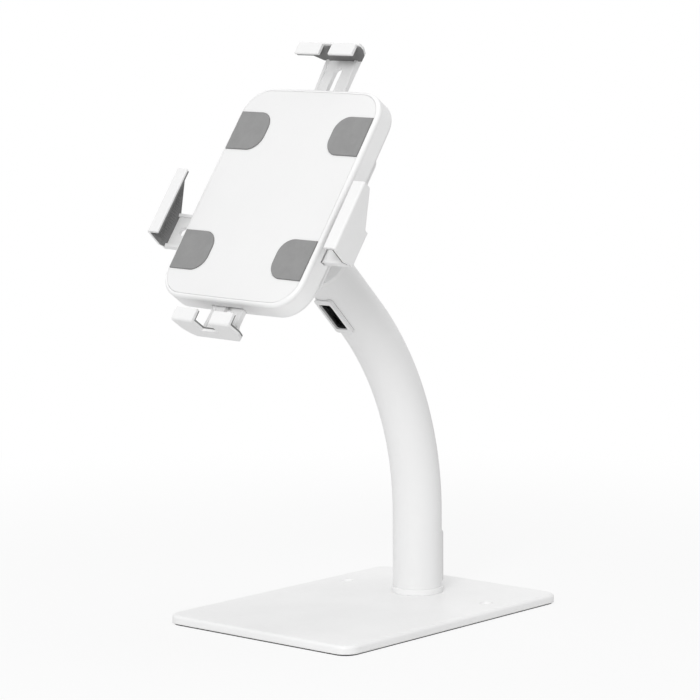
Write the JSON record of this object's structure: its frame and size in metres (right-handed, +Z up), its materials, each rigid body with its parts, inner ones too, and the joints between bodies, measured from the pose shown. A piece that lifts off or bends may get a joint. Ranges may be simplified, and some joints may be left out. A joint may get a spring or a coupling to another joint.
{
  "type": "adjustable tablet stand",
  "caption": "Tablet stand with a flat base plate, a bent round pole and a tilting, turning holder with sliding hooked jaws.",
  "frame": {"origin": "middle of the base's underside, on the surface it stands on", "axes": "+Z up, the holder's face looks towards -Y, +X to the right seen from the front"},
  "size_m": [0.1876, 0.2992, 0.4312],
  "materials": {
    "powder": "satin",
    "plastic": "satin",
    "rubber_grey": "matte",
    "rubber_dark": "matte",
    "rubber_black": "matte",
    "nylon_black": "satin",
    "steel": "brushed",
    "chrome": "polished",
    "brass": "satin"
  },
  "bodies": {
    "stand": {"base_plate": "powder", "base_sheet": "rubber_black", "pole_tube": "powder", "pole_foot_plug": "steel", "pole_foot_collar": "powder", "pole_screws": "steel", "lower_cable_port": "plastic", "upper_cable_port": "plastic", "pole_head": "plastic", "head_screw": "steel"},
    "tilt_head": {"tilt_bracket": "powder", "tilt_bolt": "steel", "tilt_nut": "steel", "tilt_washers": "nylon_black", "swivel_screw": "steel", "swivel_washer": "steel", "swivel_friction_ring": "nylon_black"},
    "holder": {"rear_housing": "plastic", "front_bezel": "plastic", "face_plate": "plastic", "rear_cover": "plastic", "lock_case": "chrome", "arm_inserts": "brass", "arm_clamp_screws": "steel", "housing_screws": "steel", "pad_right_top": "rubber_grey", "pad_left_top": "rubber_grey", "pad_right_bottom": "rubber_grey", "pad_left_bottom": "rubber_grey"},
    "top_jaw": {"jaw_top": "plastic", "liner_top": "rubber_dark"},
    "bottom_jaw": {"jaw_bottom": "plastic", "liner_bottom": "rubber_dark"},
    "left_jaw": {"jaw_left": "plastic", "liner_left": "rubber_dark"},
    "right_jaw": {"jaw_right": "plastic", "liner_right": "rubber_dark"},
    "lock": {"lock_core": "brass", "lock_cam": "steel"}
  },
  "joints": [
    {"name": "tilt", "type": "hinge", "parent": "stand", "child": "tilt_head", "pos_m": [0, -0.06184, 0.28179], "axis": [1, 0, 0], "range_deg": [-56, 34]},
    {"name": "turn", "type": "hinge", "parent": "tilt_head", "child": "holder", "pos_m": [0, -0.08621, 0.31171], "axis": [0, -0.829, 0.5592], "continuous": true},
    {"name": "top_jaw_slide", "type": "slide", "parent": "holder", "child": "top_jaw", "axis": [0.0314, 0.5589, 0.8286], "range_m": [-0.0229, 0.0096]},
    {"name": "bottom_jaw_slide", "type": "slide", "parent": "holder", "child": "bottom_jaw", "axis": [-0.0314, -0.5589, -0.8286], "range_m": [-0.0119, 0.0206]},
    {"name": "left_jaw_slide", "type": "slide", "parent": "holder", "child": "left_jaw", "axis": [-0.9995, 0.0176, 0.026], "range_m": [-0.0205, 0.0072]},
    {"name": "right_jaw_slide", "type": "slide", "parent": "holder", "child": "right_jaw", "axis": [0.9995, -0.0176, -0.026], "range_m": [-0.0205, 0.0072]},
    {"name": "lock_turn", "type": "hinge", "parent": "holder", "child": "lock", "pos_m": [-0.04398, -0.08876, 0.31509], "axis": [0, 0.829, -0.5592], "range_deg": [0, 90]}
  ]
}
